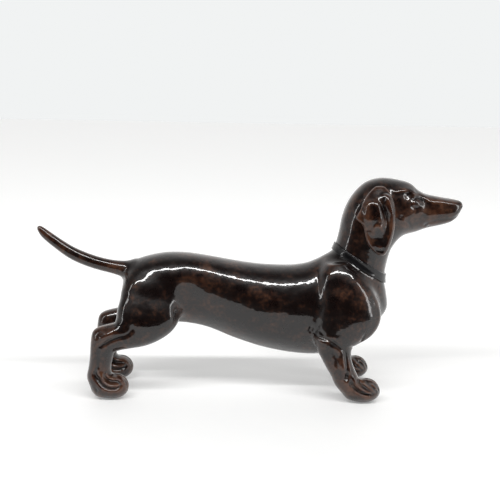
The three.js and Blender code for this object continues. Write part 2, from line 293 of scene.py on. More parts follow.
# Rump, back and belly, chest, neck, skull, muzzle: first point above, second below.
TRUNK_ROWS = [
    [-93.5, 76, -93.5, 68, 4, 0],
    [-91.8, 88, -92, 57, 12, 0],
    [-87, 95.3, -88, 54.5, 16.5, 0],
    [-78, 100, -78, 53, 19.5, 0],
    [-62, 103.5, -62, 51.8, 20.5, 0, 0.1],
    [-46, 103.6, -46, 51, 19.5, 0, 0.18],
    [-30, 101.4, -30, 47.7, 19.5, 0, 0.18],
    [-12, 98.3, -10, 39.8, 22, 0, 0.1],
    [8, 95.8, 12, 33, 24, 0],
    [28, 95.2, 34, 29, 25, 0],
    [41, 96.8, 54, 28.4, 24.5, 0],
    [49, 99.8, 70, 32.6, 23.5, 0],
    [53.5, 102.2, 84.8, 41, 22, 0],
    [56.2, 103.8, 95, 52, 20, 0],
    [58.3, 105, 102.6, 63.3, 18.5, 0],
    [59.8, 106, 101.8, 75, 17.6, 0],
    [61, 107, 100, 83.5, 17.2, 0],
    [62, 109.6, 99.8, 87, 17, 0],
    [63, 112.2, 99.9, 90.5, 16.9, 0],
    [65, 121, 101.2, 99, 17, 0],
    [66.8, 132, 103.2, 106.7, 17.4, 0],
    [70.5, 142.5, 105.8, 111.7, 17.8, 0],
    [76.5, 151.5, 109, 115.8, 18, 0],
    [84.5, 158.2, 111.8, 118.2, 17.6, 0],
    [95, 160.8, 114.6, 119.4, 16.6, 0],
    [107, 159.6, 117.8, 120.2, 14.4, 0],
    [116, 157, 121.6, 121.3, 12.2, 0],
    [122, 152.2, 126.2, 123, 10.4, 0],
    [128, 149.4, 130.8, 124.6, 9.4, 0, 0, 0.1],
    [138, 147.4, 138.2, 126.2, 8.6, 0, 0, 0.15],
    [147, 146, 146.2, 128.6, 7.4, 0, 0, 0.15],
    [152.2, 144.9, 151, 132, 5.8, 0],
    [154.3, 143.4, 153.6, 136, 3.8, 0],
    [TIP_X, 141.5, TIP_X, 139, 1.2, 0],
]
NECK_ROW = 17           # the row in the middle of the collar
# Root to tip: first point below, second above.
TAIL_ROWS = [
    [-84, 83, -84, 98, 7.2, 0],
    [-91, 84.3, -90.5, 97, 6.1, 0],
    [-100, 87.1, -99, 97.3, 4.9, 0],
    [-110.5, 89.8, -109, 99.3, 4.6, 0],
    [-121, 93.2, -118.5, 102.4, 4.5, 0],
    [-131.7, 98.2, -128.5, 106.8, 4.3, 0],
    [-141.8, 105.5, -138.2, 112.8, 3.9, 0],
    [-150.8, 113.2, -147, 119, 3.3, 0],
    [-154.3, 118.3, -151.6, 122, 2.2, 0],
    [-TIP_X, 120.8, -154.2, 122.4, 0.9, 0],
]
# Hip to heel: first point in front, second behind.
REAR_ROWS = [
    [-64, 90, -80, 91, 5, 6],
    [-54, 82, -86.5, 86, 8.8, 11],
    [-49.5, 71, -91.8, 78, 11.2, 13.8],
    [-49.5, 61, -94, 69, 12.6, 17],
    [-55, 51, -95.2, 62, 12, 20],
    [-64, 43.8, -96, 59, 10.6, 20.8],
    [-75, 39.2, -96.4, 57.4, 9.5, 21.8],
    [-86, 37.3, -96.8, 56.2, 9, 22.6],
    [-92.5, 36.2, -103.5, 54.6, 8.3, REAR_Y],
    [-96.8, 34.4, -109.5, 52.6, 7.6, REAR_Y],
    [-98.2, 31.5, -113, 49.3, 7.1, REAR_Y],
    [-98.8, 28.5, -114.3, 42, 6.8, REAR_Y, 0, 0.2],
    [-99.4, 25, -114.8, 33, 6.9, REAR_Y, 0, 0.3],
    [-99.6, 20.5, -115.8, 24, 7.2, REAR_Y, 0, 0.2],
    [-98.5, 15, -117.2, 16, 7.6, REAR_Y],
    [-98, 9, -115, 9, 7.6, REAR_Y],
    [-99, 3, -111, 2, 5.6, REAR_Y],
]
# Shoulder blade to wrist: first point in front, second behind.
FRONT_ROWS = [
    [71.5, 101, 54.5, 99, 9, 10.8],
    [81.5, 92.5, 50, 91.5, 11.8, 13.6],
    [89.5, 80, 48, 77.5, 13.4, 17],
    [93.5, 68.5, 46.7, 66, 13.8, 19.4],
    [94, 58.5, 46, 57.5, 13.5, 20.7],
    [88, 48.5, 45.5, 52, 12.2, 22],
    [75.5, 40, 46, 48, 10.4, 23.8],
    [73.7, 35, 48.8, 38, 9.2, 25.4, 0, 0.15],
    [74, 31, 52, 32, 8.4, 26.8, 0, 0.2],
    [75.3, 27, 55.5, 25.5, 7.8, FRONT_Y, 0, 0.2],
    [77.5, 22, 59.3, 19, 7.6, FRONT_Y, 0, 0.1],
    [80, 17, 62, 13, 7.9, FRONT_Y],
    [83, 10, 66, 8, 7.7, FRONT_Y],
    [82, 3, 71, 2.5, 5.6, FRONT_Y],
]
HAMSTRING = [(-86, 12, 76, 4), (-88, 18.4, 64, 7.2), (-87.4, 21.6, 55.5, 7.3)]


def hind_limb(clay, side):
    clay.add(Loft(REAR_ROWS, side), THIGH_BLEND)
    clay.add(Stroke(HAMSTRING, side), 2.0)


def hock_forms(clay, side):
    """The heel cord stands proud of the shin and steps down onto it."""
    clay.emboss([(-105.6, 46.8, 1.9, 0.6), (-99.2, 50.6, 2.2, 0.9), (-94.2, 54, 2.4, 0.4)], side, 18)
    clay.emboss([(-106.6, 40.6, 1.2, -0.6), (-102.8, 43.2, 1.4, -1.3), (-99.6, 45.2, 1.5, -1.4),
                 (-93.7, 47.7, 1.4, -1.1), (-88.6, 49, 1.4, -0.7), (-85, 52, 1.4, -0.5),
                 (-82.5, 58, 1.5, -0.1)], side, 18)
    clay.emboss([(-108, 40, 1.1, -0.3), (-108, 32, 1.3, -0.6), (-108.8, 25, 1.2, -0.6)], side, 20)
    clay.emboss([(-103.5, 40, 2.2, 0.4), (-103.5, 30, 2.2, 0.5), (-103.8, 22, 2, 0.2)], side, 20)
    under_hock = [(-97.5, REAR_Y + 7.5, 33.8, 0.3), (-91, REAR_Y + 9, 36.2, 0.5),
                  (-84, REAR_Y + 9, 37.4, 0.2)]
    clay.carve(Stroke(under_hock, side), 1.0)


def elbow_creases(clay, side):
    """The crease behind and under the elbow, with short folds round it."""
    clay.emboss([(47.2, 49.6, 1.2, -0.9), (52, 48.2, 1.3, -1.3), (56.5, 47.2, 1.2, -1.0),
                 (60.5, 45, 1.8, -1.8), (64.5, 41.8, 1.2, -0.9), (68, 38.4, 1.0, -0.2)], side, 18)
    clay.emboss([(46.6, 50.5, 1.0, -0.7), (48.2, 54, 1.1, -0.6), (49.6, 60, 1.3, -0.2)], side, 18)
    clay.emboss([(50.2, 52.4, 1.6, -0.9), (52.4, 50.4, 1.6, -0.9)], side, 18)
    clay.emboss([(44.2, 54, 1.5, -1.0), (43.4, 51.4, 1.5, -1.0)], side, 14)
    clay.emboss([(72, 41.8, 0.8, -0.5), (76, 40.2, 0.9, -1.2), (77.5, 39.4, 0.8, -0.4)], side, 10)
    clay.emboss([(82, 51.5, 0.8, -0.3), (81.2, 48.5, 0.9, -1.0), (80, 45.4, 0.9, -0.8)], side, 8)
    clay.emboss([(87.4, 46.8, 0.9, -0.4), (85.4, 44.6, 1.0, -1.1), (83, 43, 0.9, -0.4)], side, 4)
    armpit = [(52, 18.6, 38, 1.4), (60, 17.6, 37.5, 1.6), (70, 18.2, 38.5, 1.4)]
    clay.carve(Stroke(armpit, side), 1.5)


def keel_forms(clay, side):
    """The edge of the breastbone, from the base of the neck to between the legs."""
    clay.emboss([(84, 86, 2.2, 0.2), (90, 76, 2.4, 0.9), (94, 66, 2.4, 1.1), (92, 56, 2.3, 1.0),
                 (87, 49, 2, 0.8), (80, 41, 2, 0.2)], side, 5)
    clay.emboss([(96, 72, 2.5, -0.2), (98.5, 63, 2.4, -0.6), (96, 54, 2.2, -0.3)], side, 3)


def shoulder_creases(clay, side):
    """The shallow groove behind the shoulder blade."""
    clay.emboss([(50.5, 96, 2, -0.1), (49, 90, 1.8, -0.6), (48.2, 81, 1.9, -0.5),
                 (47.4, 71, 2, -0.2)], side, 10)


def flank_forms(clay, side):
    """The hollow in front of the thigh."""
    clay.carve(Ball((-43, 25.5, 70), (9, 6, 16), side), 7)


def relief(clay, side, middle, lines):
    """Draws the same lines on the outside and the inside of a paw."""
    for line in lines:
        clay.emboss(line, side, middle + 1)
        clay.emboss(line, -side, 1 - middle)


def part_toes(clay, side, middle, path):
    """Three grooves over the front of a paw, between its four toes."""
    for lane in (middle - 4.4, middle, middle + 4.4):
        clay.carve(Stroke([(x, lane, z, radius) for x, z, radius in path], side), 0.9)


def front_paw(clay, side):
    """A smooth sole band, with the toes lying over it in three ridges."""
    clay.add(Ball((82, FRONT_Y, 7.4), (13, 9.2, 7.6), side), 2)
    clay.add(Ball((84.6, FRONT_Y, 9), (10.4, 8.4, 8.4), side), 2)
    part_toes(clay, side, FRONT_Y, [(83, 18, 0.5), (88.6, 16.2, 1.0), (93, 12.6, 1.2),
                                    (95.2, 8, 1.2), (94.6, 3, 1.0)])
    relief(clay, side, FRONT_Y, [
        [(72.6, 17, 1.2, -0.5), (73.6, 14.8, 1.3, -1.1), (76.8, 11.6, 1.2, -1.4), (81.2, 9, 1.2, -1.4),
         (86, 7.8, 1.1, -1.1), (89, 8, 1.0, -0.3)],
        [(76, 18.6, 1.3, 0.5), (76.9, 15, 1.4, 1.1), (80.4, 12.1, 1.4, 1.1), (84.6, 10, 1.4, 1.0),
         (88, 8.8, 1.3, 0.4)],
        [(78.2, 17.4, 0.9, -0.5), (80.4, 14.6, 0.9, -0.9), (84.8, 11.8, 0.9, -0.8),
         (89.6, 8.4, 0.9, -0.4)],
        [(80.6, 16.6, 1.1, 0.5), (85.6, 13.4, 1.2, 0.8), (90, 9.6, 1.1, 0.5)],
        [(84.8, 15.6, 0.8, -0.5), (89, 12.6, 0.8, -0.7), (92, 9, 0.8, -0.3)],
    ])


def front_leg_grooves(clay, side):
    """The two long hollows of the foreleg, the wrist, and the groove over the sole band."""
    outside = FRONT_Y + 8.6
    clay.emboss([(58.6, 44.5, 2, -0.1), (60.9, 37.1, 2.2, -0.7), (62.3, 29.1, 2.2, -0.7),
                 (65.1, 23.3, 2, -0.2)], side, 22)
    clay.emboss([(67.4, 42.4, 1.4, -0.2), (68.8, 34, 1.3, -0.7), (69.6, 26.5, 1.3, -0.9),
                 (69.8, 23, 1.3, -0.7)], side, 22)
    clay.emboss([(69.9, 21.8, 1.3, -1.5), (69.5, 19.2, 1.4, -1.6)], side, 22)
    over_sole = [(73.2, outside - 0.8, 15.4, 1.7), (76.8, outside, 11.8, 1.2),
                 (81.2, outside + 0.2, 9.3, 1.2), (86, outside - 1, 8, 1.0)]
    clay.carve(Stroke(over_sole, side), 0.8)


def rear_paw(clay, side):
    """A tight paw: the sole band turns up in front, and the toes curl inside it."""
    clay.add(Ball((-101, REAR_Y, 8), (13, 9, 8), side), 2)
    clay.add(Ball((-97.4, REAR_Y, 9.2), (10.4, 8.4, 8.8), side), 2)
    part_toes(clay, side, REAR_Y, [(-97, 18.4, 0.5), (-91.4, 17, 1.0), (-87.8, 12.4, 1.2),
                                   (-86.8, 7.6, 1.2), (-88.6, 2.4, 1.0)])
    relief(clay, side, REAR_Y, [
        [(-107.6, 17, 1.1, -0.7), (-106.4, 13.4, 1.2, -1.1), (-102.8, 10.6, 1.2, -1.4),
         (-98.6, 9.6, 1.2, -1.6), (-94.6, 10, 1.1, -1.3), (-92.4, 11.4, 1.0, -0.5)],
        [(-105.9, 20.2, 1.2, 0.4), (-105.9, 17, 1.4, 1.1), (-104, 14.2, 1.5, 1.2),
         (-100.6, 12.2, 1.5, 1.2), (-96, 11.9, 1.4, 1.1), (-93.6, 12.8, 1.2, 0.5)],
        [(-103.8, 18.6, 0.9, -0.5), (-102.4, 16, 1.0, -1.0), (-99.4, 14.4, 1.0, -1.1),
         (-95.6, 14.2, 1.0, -1.0), (-93, 12.6, 0.9, -0.4)],
        [(-102.7, 19.3, 1.1, 0.5), (-101, 17.2, 1.2, 0.9), (-97.6, 16.1, 1.3, 1.0),
         (-93.6, 15.8, 1.3, 1.0), (-91, 13.8, 1.2, 0.8), (-89.9, 11.4, 1.1, 0.3)],
    ])


def heel_grooves(clay, side):
    """The deep crease above the heel and a small one at its foot."""
    clay.emboss([(-109.8, 23.4, 1.0, -0.9), (-110.5, 19.8, 1.6, -1.8), (-109, 16.4, 1.7, -1.8),
                 (-107.4, 13.8, 1.1, -0.7)], side, 18)
    clay.emboss([(-110.6, 9.9, 0.8, -0.3), (-109.4, 8.2, 0.9, -0.7), (-109.9, 5.8, 0.8, -0.3)], side, 18)


# ---- Head ------------------------------------------------------------------------------------

def eye(clay, side):
    """A low almond dome between two soft lids, with a hollow temple behind it."""
    clay.emboss([(108.8, 149.6, 2.8, -0.2), (111.6, 149.2, 3.0, -0.7), (114, 148, 2.4, -0.3)], side, 5)
    clay.emboss([(117.4, 144.2, 3.3, 0.8), (120.2, 144.1, 3.2, 0.8)], side, 3)
    clay.emboss([(114.4, 145.2, 1.0, -0.2), (116, 146.9, 1.0, -0.5), (118.8, 147.8, 1.0, -0.6),
                 (121.8, 146.8, 1.0, -0.4), (123.6, 144.8, 1.0, -0.1)], side, 3)
    clay.emboss([(114.6, 143.2, 1.0, -0.2), (116.2, 141.2, 1.1, -0.5), (119.2, 140.5, 1.1, -0.4),
                 (122.4, 141.6, 1.0, -0.1)], side, 3)
    clay.emboss([(115, 149.6, 1.5, 0.3), (118.6, 150.4, 1.5, 0.5), (122, 149.2, 1.4, 0.3)], side, 3)
    clay.emboss([(118.2, 152.4, 0.9, -0.4), (118.9, 151.7, 0.9, -0.4)], side, 2)


def brow_and_cheek(clay, side):
    """The ridge of the brow, the hollow in front of the ear, and the folds of the cheek."""
    clay.emboss([(99.5, 155.2, 1.6, 0.2), (102.6, 152.6, 1.8, 0.7), (106.4, 153.2, 1.9, 1.1),
                 (110.6, 153.3, 1.9, 1.3), (114.6, 152.8, 1.8, 1.2), (117.2, 150.8, 1.7, 0.8),
                 (118, 148.8, 1.5, 0.3)], side, 3)
    clay.emboss([(104.4, 148, 3, -0.3), (105.6, 143, 4, -0.7), (107, 138, 4, -0.4)], side, 5)
    clay.emboss([(104, 133, 6, 0.3), (108, 127.5, 6, 0.6)], side, 5)
    clay.emboss([(106.6, 135.2, 1.1, -0.2), (107.8, 134.5, 1.2, -0.5), (109, 133.8, 1.1, -0.2)], side, 5)
    clay.emboss([(110.2, 132.4, 0.8, -0.2), (112.6, 131, 0.8, -0.5), (114.5, 128.8, 0.8, -0.6),
                 (116.6, 125.8, 0.8, -0.2)], side, 5)
    clay.emboss([(122.4, 143.4, 2.8, 0.2), (122.8, 139.6, 3, 0.5), (120.8, 135.6, 3, 0.2)], side, 3)


def muzzle(clay, side):
    """The edge along the top of the muzzle, the lips, the mouth line and its corner."""
    clay.emboss([(120.6, 151.6, 1.6, 0.2), (123.6, 149.4, 1.8, 0.7), (126.5, 147.2, 1.8, 0.9),
                 (130.8, 145, 1.9, 0.9), (138.6, 144.6, 1.9, 0.8), (145.5, 143.3, 1.8, 0.6),
                 (150.5, 143, 1.5, 0.3)], side, 3)
    clay.emboss([(133, 136, 3.2, 0.3), (140, 136.6, 3.2, 0.4), (147, 136.8, 2.6, 0.3)], side, 2)
    clay.emboss([(126.4, 128, 0.9, -0.5), (127.1, 127.8, 1.1, -1.2), (128.4, 128.8, 0.7, -0.5),
                 (134.6, 131, 0.6, -0.35), (139.4, 131.8, 0.6, -0.35), (145.2, 132.3, 0.6, -0.4),
                 (149, 133.4, 0.6, -0.45), (152, 135.2, 0.6, -0.45), (153.6, 136.4, 0.6, -0.4)], side, -1)
    clay.emboss([(128.6, 126.4, 0.8, -0.3), (129.8, 126.2, 0.9, -0.8), (131, 126.6, 0.8, -0.2)], side, 2)
    clay.emboss([(124.2, 127.4, 1.0, 0.3), (126, 125.8, 1.1, 0.6), (128, 125.2, 1.0, 0.3)], side, 3)
    clay.emboss([(131, 128, 1.6, 0.2), (140, 129.4, 1.6, 0.3), (147, 130.8, 1.3, 0.2)], side, 0)


NOSE_PAD = Ball((151.7, 0, 141.2), (3.6, 4.8, 3.5))
NOSTRIL_SLIT = [(150.6, 5.2, 138.2, 0.4), (153.2, 4, 137.6, 0.5), (154.4, 1.6, 137.4, 0.4)]
LIP_CLEFT = [(155.4, 0, 139.6, 0.4), (154.4, 0, 136.6, 0.5)]


def shape_head():
    clay = Clay((58, -31, 78), (160, 31, 165), FINE)
    clay.add(Loft(TRUNK_ROWS[NECK_ROW - 4:]))
    clay.soften(SOFTENING)
    for side in (-1, 1):
        brow_and_cheek(clay, side)
        eye(clay, side)
        muzzle(clay, side)
    clay.add(NOSE_PAD, 0.7)
    clay.soften(0.5)
    for side in (-1, 1):
        clay.carve(Ball((154.2, 3.1, 140.6), (1.5, 1.1, 0.9), side), 0.5)
        clay.carve(Stroke(NOSTRIL_SLIT, side), 0.5)
    clay.carve(Stroke(LIP_CLEFT), 0.4)
    return clay


# Root on the skull down to the rounded tip: first point in front, second behind.
EAR_ROWS = [
    [95, 156, 88, 156, 2, 12.4],
    [98.5, 152.4, 82.5, 150.8, 2.6, 14.8],
    [100.4, 147.8, 79, 145.6, 3, 17.7],
    [101.6, 142, 76.8, 139.6, 3.2, 19.2],
    [102.2, 135.6, 74.2, 133.8, 3.1, 19.9],
    [102.2, 128.5, 79.6, 128, 2.9, 20.2],
    [101, 120.5, 81.6, 120.5, 2.8, 20.2],
    [99.4, 114.5, 83.6, 114.5, 2.6, 20],
    [97.6, 109.8, 87.6, 109.8, 2.4, 19.6],
    [95.6, 107, 91.6, 107, 1.6, 19.4],
]


def shape_ear(side):
    """A hanging leaf with a raised lobe behind, a rolled front edge and a rim round its foot."""
    low, high = sorted((6 * side, 30 * side))
    clay = Clay((68, low, 98), (110, high, 164), FINE)
    clay.add(Loft(EAR_ROWS, side))
    clay.soften(0.6)
    clay.emboss([(85.4, 141.6, 5.6, 1.8), (86, 134.6, 6.6, 1.9), (87.4, 127, 5.6, 0.7)], side, 18, 6)
    clay.emboss([(92.8, 147.8, 1.5, 0.3), (94.2, 150, 2.0, 1.3), (96.2, 148.4, 2.6, 1.9),
                 (98.4, 141, 2.6, 2.0), (99.6, 135, 2.2, 1.7), (99.9, 127.5, 1.9, 1.3),
                 (98.4, 118.5, 1.8, 1.1), (96.8, 112.5, 1.6, 0.9), (95.4, 109.4, 1.4, 0.5)], side, 18)
    clay.emboss([(91.2, 146.4, 1.3, -0.3), (92.8, 142.6, 1.4, -1.2), (94.9, 137, 1.4, -1.3),
                 (96.2, 130, 1.4, -1.0), (96, 123, 1.3, -0.4)], side, 18)
    clay.emboss([(89.6, 123.4, 2.6, -1.1), (90.6, 118.6, 3, -1.1), (90.8, 115.8, 2.4, -0.4)], side, 18)
    clay.emboss([(86.7, 127, 1.2, 0.5), (88.6, 128.8, 1.3, 1.0), (91.6, 127.8, 1.3, 0.9),
                 (93, 124.6, 1.2, 0.4)], side, 18)
    clay.emboss([(88.4, 114.4, 1.5, 0.5), (91.6, 113.2, 1.6, 1.0), (93.6, 113.4, 1.4, 0.4)], side, 18)
    clay.emboss([(89.6, 111.2, 1.0, -0.4), (92.4, 110.8, 1.1, -0.8), (94.4, 111, 1.0, -0.3)], side, 18)
    clay.emboss([(74.6, 133.8, 1.3, 0.4), (79.8, 129, 1.3, 0.7), (82, 121, 1.3, 0.7),
                 (85.2, 114, 1.3, 0.7), (90, 109.4, 1.2, 0.7), (94.8, 108, 1.2, 0.5)], side, 18)
    clay.soften(0.45)
    return clay


# ---- Joining the ears ------------------------------------------------------------------------

def window_of(big, small):
    """The part of a big block that a small one covers."""
    start = small.first - big.first
    return tuple(slice(int(i), int(i + n)) for i, n in zip(start, small.count))


def join_ears(head, ears):
    """Blends the ears into the head, then parts them again along their own creases."""
    for ear in ears:
        window = window_of(head, ear)
        whole = smooth_min(head.field[window], ear.field, EAR_BLEND)
        nearer = ear.field - head.field[window]
        ear.surface = whole
        head.field[window] = np.maximum(whole, -nearer)
        ear.field = np.maximum(whole, nearer)


# ---- Castings --------------------------------------------------------------------------------

def skin_mesh(clay):
    """The clay's surface as corner places in metres and faces."""
    grid = openvdb.FloatGrid()
    grid.background = BAND
    grid.copyFromArray(clay.field)
    points, triangles, quads = grid.convertToPolygons(isovalue=0.0, adaptivity=0.0)
    places = (points.astype(float) + clay.first) * clay.cell * MM
    return places, quads.tolist() + triangles.tolist()


EVERYWHERE = ((-200, -200, -200), (200, 200, 200))
# A point on each joint's plane, the way it faces, and the box that holds what is past it.
CUTS = {
    "neck": ((80.9, 0, 98.3), (0.52, 0, 0.854), EVERYWHERE),
    "tail": ((-97.5, 0, 91), (-1, 0, 0.1), EVERYWHERE),
    "rear": ((-91.4, REAR_Y, 46.8), (-0.868, 0, -0.496), ((-130, 8, -10), (-80, 60, 62))),
    "front": ((61, FRONT_Y, 34.5), (0.1, 0, -0.995), ((40, 16, -10), (100, 60, 42))),
}


def inside(place, side, box):
    """Whether a place in metres is in a box in millimetres, mirrored to a side."""
    low, high = [[v * MM for v in corner] for corner in box]
    return all(a < v < b for a, v, b in zip(low, (place.x, place.y * side, place.z), high))


def cut_away(bm, name, side=1, keep=1):
    """Cuts off what lies past a joint, or before it, and closes the cut with one flat face."""
    (x, y, z), direction, box = CUTS[name]
    box = box if keep > 0 else EVERYWHERE
    point = Vector((x, y * side, z)) * MM
    faces = [face for face in bm.faces if inside(face.calc_center_median(), side, box)]
    geometry = set(faces)
    for face in faces:
        geometry.update(face.edges)
        geometry.update(face.verts)
    result = bmesh.ops.bisect_plane(bm, geom=list(geometry), plane_co=point, plane_no=direction,
                                    clear_outer=keep > 0, clear_inner=keep < 0)
    edges = [g for g in result["geom_cut"] if isinstance(g, bmesh.types.BMEdge)]
    bmesh.ops.contextual_create(bm, geom=edges)


def casting_mesh(clay, cuts):
    """The skin of the clay, cut off at its joints."""
    places, faces = skin_mesh(clay)
    mesh = bpy.data.meshes.new("casting")
    mesh.from_pydata(places.tolist(), [], faces)
    if cuts:
        bm = bmesh.new()
        bm.from_mesh(mesh)
        for cut in cuts:
            cut_away(bm, *cut)
        bmesh.ops.recalc_face_normals(bm, faces=bm.faces)
        bm.to_mesh(mesh)
        bm.free()
    return mesh


def mesh_values(items, name, width):
    """One property of all of a mesh's items, as rows of the given width."""
    kind = int if name in ("vertex_index", "vertices", "loop_total") else float
    values = np.empty(len(items) * width, dtype=kind)
    items.foreach_get(name, values)
    return values.reshape(-1, width) if width > 1 else values


def set_normals(mesh, clay):
    """Smooth normals taken from the clay itself, flat ones on the cut faces."""
    places = mesh_values(mesh.vertices, "co", 3)
    surface = getattr(clay, "surface", clay.field)
    slopes = [clay.sample(part, places) for part in np.gradient(surface)]
    normals = np.stack(slopes, axis=1)
    normals /= np.maximum(np.linalg.norm(normals, axis=1, keepdims=True), 1e-6)
    corners = mesh_values(mesh.loops, "vertex_index", 1)
    face_normals = mesh_values(mesh.polygons, "normal", 3)
    owners = np.repeat(np.arange(len(mesh.polygons)), mesh_values(mesh.polygons, "loop_total", 1))
    loop_normals = normals[corners]
    flat = (loop_normals * face_normals[owners]).sum(axis=1) < 0.5
    loop_normals[flat] = face_normals[owners][flat]
    mesh.normals_split_custom_set(loop_normals.tolist())
    return places, normals


MOST_CURVED = 600       # the most curvature that counts, per metre
THIN_PASSES = 10        # how often the curvature is averaged with its surroundings
THIN_CURVED = 400       # the curvature of a ridge that thins the glaze fully


def set_thinness(mesh, places, normals, start):
    """How thin the glaze is: it draws back from ridges and pools in creases."""
    edges = mesh_values(mesh.edges, "vertices", 2)
    a, b = edges.T
    step = places[b] - places[a]
    turn = ((normals[b] - normals[a]) * step).sum(axis=1) / np.maximum((step ** 2).sum(axis=1), 1e-12)
    count = np.maximum(np.bincount(a, minlength=len(places)) + np.bincount(b, minlength=len(places)), 1)
    values = (np.bincount(a, turn, len(places)) + np.bincount(b, turn, len(places))) / count
    values = np.clip(values, -MOST_CURVED, MOST_CURVED)
    for _ in range(THIN_PASSES):
        around = np.bincount(a, values[b], len(places)) + np.bincount(b, values[a], len(places))
        values = (values + around) / (1 + count)
    thin = np.clip(start + values / THIN_CURVED, 0, 1)
    mesh.attributes.new("thinness", "FLOAT", "POINT").data.foreach_set("value", thin.astype(np.float32))


def place(name, node, mesh, material):
    """Puts a smooth-shaded piece in the scene, in the place of its CAD node."""
    mesh.materials.clear()
    mesh.materials.append(material)
    mesh.polygons.foreach_set("use_smooth", [True] * len(mesh.polygons))
    piece = bpy.data.objects.new(name, mesh)
    bpy.context.scene.collection.objects.link(piece)
    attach(piece, "root")
    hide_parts(node)
    return piece


def cast(node, clay, cuts, material, start):
    """Makes the casting of a CAD node; start is how thin its glaze is where it is flat."""
    mesh = casting_mesh(clay, cuts)
    mesh.name = node + "_casting"
    piece = place(node + "_casting", node, mesh, material)
    places, normals = set_normals(mesh, clay)
    set_thinness(mesh, places, normals, start)


# ---- The castings themselves -----------------------------------------------------------------

def shape_torso():
    clay = Clay((-103, -44, 22), (108, 44, 116), COARSE)
    clay.add(Loft(TRUNK_ROWS[:NECK_ROW + 5]))
    clay.add(Loft(TAIL_ROWS[:4]), TAIL_BLEND)
    for side in (-1, 1):
        hind_limb(clay, side)
        clay.add(Loft(FRONT_ROWS, side), SHOULDER_BLEND)
        keel_forms(clay, side)
    clay.soften(SOFTENING)
    for side in (-1, 1):
        hock_forms(clay, side)
        elbow_creases(clay, side)
        front_leg_grooves(clay, side)
        shoulder_creases(clay, side)
        flank_forms(clay, side)
    clay.carve(Stroke(VENT), 0.8)
    return clay


def shape_tail():
    clay = Clay((-160, -9, 78), (-88, 9, 128), FINE)
    clay.add(Loft(TAIL_ROWS))
    clay.soften(SOFTENING)
    return clay


def shape_rear_leg(side):
    low, high = sorted((8 * side, 36 * side))
    clay = Clay((-122, low, -4), (-82, high, 62), FINE)
    hind_limb(clay, side)
    clay.soften(SOFTENING)
    hock_forms(clay, side)
    rear_paw(clay, side)
    heel_grooves(clay, side)
    flatten_sole(clay)
    return clay


def shape_front_leg(side):
    low, high = sorted((12 * side, 44 * side))
    clay = Clay((42, low, -4), (100, high, 46), FINE)
    clay.add(Loft(FRONT_ROWS, side), SHOULDER_BLEND)
    clay.soften(SOFTENING)
    front_paw(clay, side)
    front_leg_grooves(clay, side)
    elbow_creases(clay, side)
    flatten_sole(clay)
    return clay


def flatten_sole(clay):
    """Nothing lies below the floor."""
    clay.field = np.maximum(clay.field, -clay.axes()[2])


# The collar's profile: how far along its width, and how far out from the neck.
COLLAR_PROFILE = [
    (0.0, -0.4), (0.0, 0.6), (0.03, 0.88), (0.08, 1.0), (0.14, 0.95), (0.2, 0.86), (0.5, 0.84),
    (0.8, 0.86), (0.86, 0.95), (0.92, 1.0), (0.97, 0.88), (1.0, 0.6), (1.0, -0.4),
]


def make_collar(material):
    """A flat band round the neck: a rounded profile carried round the neck's own section."""
    rows = TRUNK_ROWS[NECK_ROW - 1:NECK_ROW + 2]
    inner = loft_rings(rows, 1, COLLAR_COLUMNS, 8)
    outer = loft_rings(rows, 1, COLLAR_COLUMNS, 8, COLLAR_PROUD)
    rings = []
    for along, out in COLLAR_PROFILE:
        at = along * (len(inner) - 1)
        i = min(int(at), len(inner) - 2)
        near = inner[i] + (inner[i + 1] - inner[i]) * (at - i)
        far = outer[i] + (outer[i + 1] - outer[i]) * (at - i)
        rings.append(near + (far - near) * out)
    points = np.array(rings).reshape(-1, 3) * MM
    quads = ring_quads(len(rings) + 1, COLLAR_COLUMNS) % len(points)
    mesh = bpy.data.meshes.new("collar_band")
    mesh.from_pydata(points.tolist(), [], quads.tolist())
    piece = place("collar_band", "collar", mesh, material)


# ---- Glazes ----------------------------------------------------------------------------------

GLAZE_THICK = (0.0042, 0.0018, 0.0015, 1)
GLAZE_RED = (0.045, 0.015, 0.0075, 1)
GLAZE_TAN = (0.082, 0.033, 0.016, 1)
BLACK_DEEP = (0.0015, 0.0015, 0.002, 1)
BLACK_LIGHT = (0.005, 0.0045, 0.005, 1)
FLOOR_TONES = (0.69, 0.69, 0.69, 1), (0.72, 0.72, 0.71, 1)


class Nodes:
    """A material's node tree, written from top to bottom."""

    def __init__(self, name):
        self.material = bpy.data.materials.new(name)
        self.material.use_nodes = True
        self.tree = self.material.node_tree
        self.shader = self.tree.nodes["Principled BSDF"]
        self.place = self.tree.nodes.new("ShaderNodeTexCoord").outputs["Object"]

    def add(self, kind, settings=(), **inputs):
        node = self.tree.nodes.new("ShaderNode" + kind)
        for name, value in settings:
            setattr(node, name, value)
        for name, value in inputs.items():
            self.feed(node.inputs[name.replace("_", " ")], value)
        return node

    def feed(self, socket, value):
        if isinstance(value, bpy.types.NodeSocket):
            self.tree.links.new(value, socket)
        else:
            socket.default_value = value

    def math(self, operation, first, second):
        node = self.add("Math", [("operation", operation)])
        self.feed(node.inputs[0], first)
        self.feed(node.inputs[1], second)
        return node.outputs[0]

    def noise(self, scale, detail, roughness=0.5, distortion=0.0):
        node = self.add("TexNoise", Vector=self.place, Scale=scale, Detail=detail, Roughness=roughness,
                        Distortion=distortion)
        return node.outputs[0]

    def ramp(self, value, low, high, to_low=0.0, to_high=1.0):
        node = self.add("MapRange", [("interpolation_type", "SMOOTHSTEP")], Value=value, From_Min=low,
                        From_Max=high, To_Min=to_low, To_Max=to_high)
        return node.outputs[0]

    def mix(self, factor, first, second):
        node = self.add("Mix", [("data_type", "RGBA")])
        self.feed(node.inputs[0], factor)
        self.feed(node.inputs[6], first)
        self.feed(node.inputs[7], second)
        return node.outputs[2]


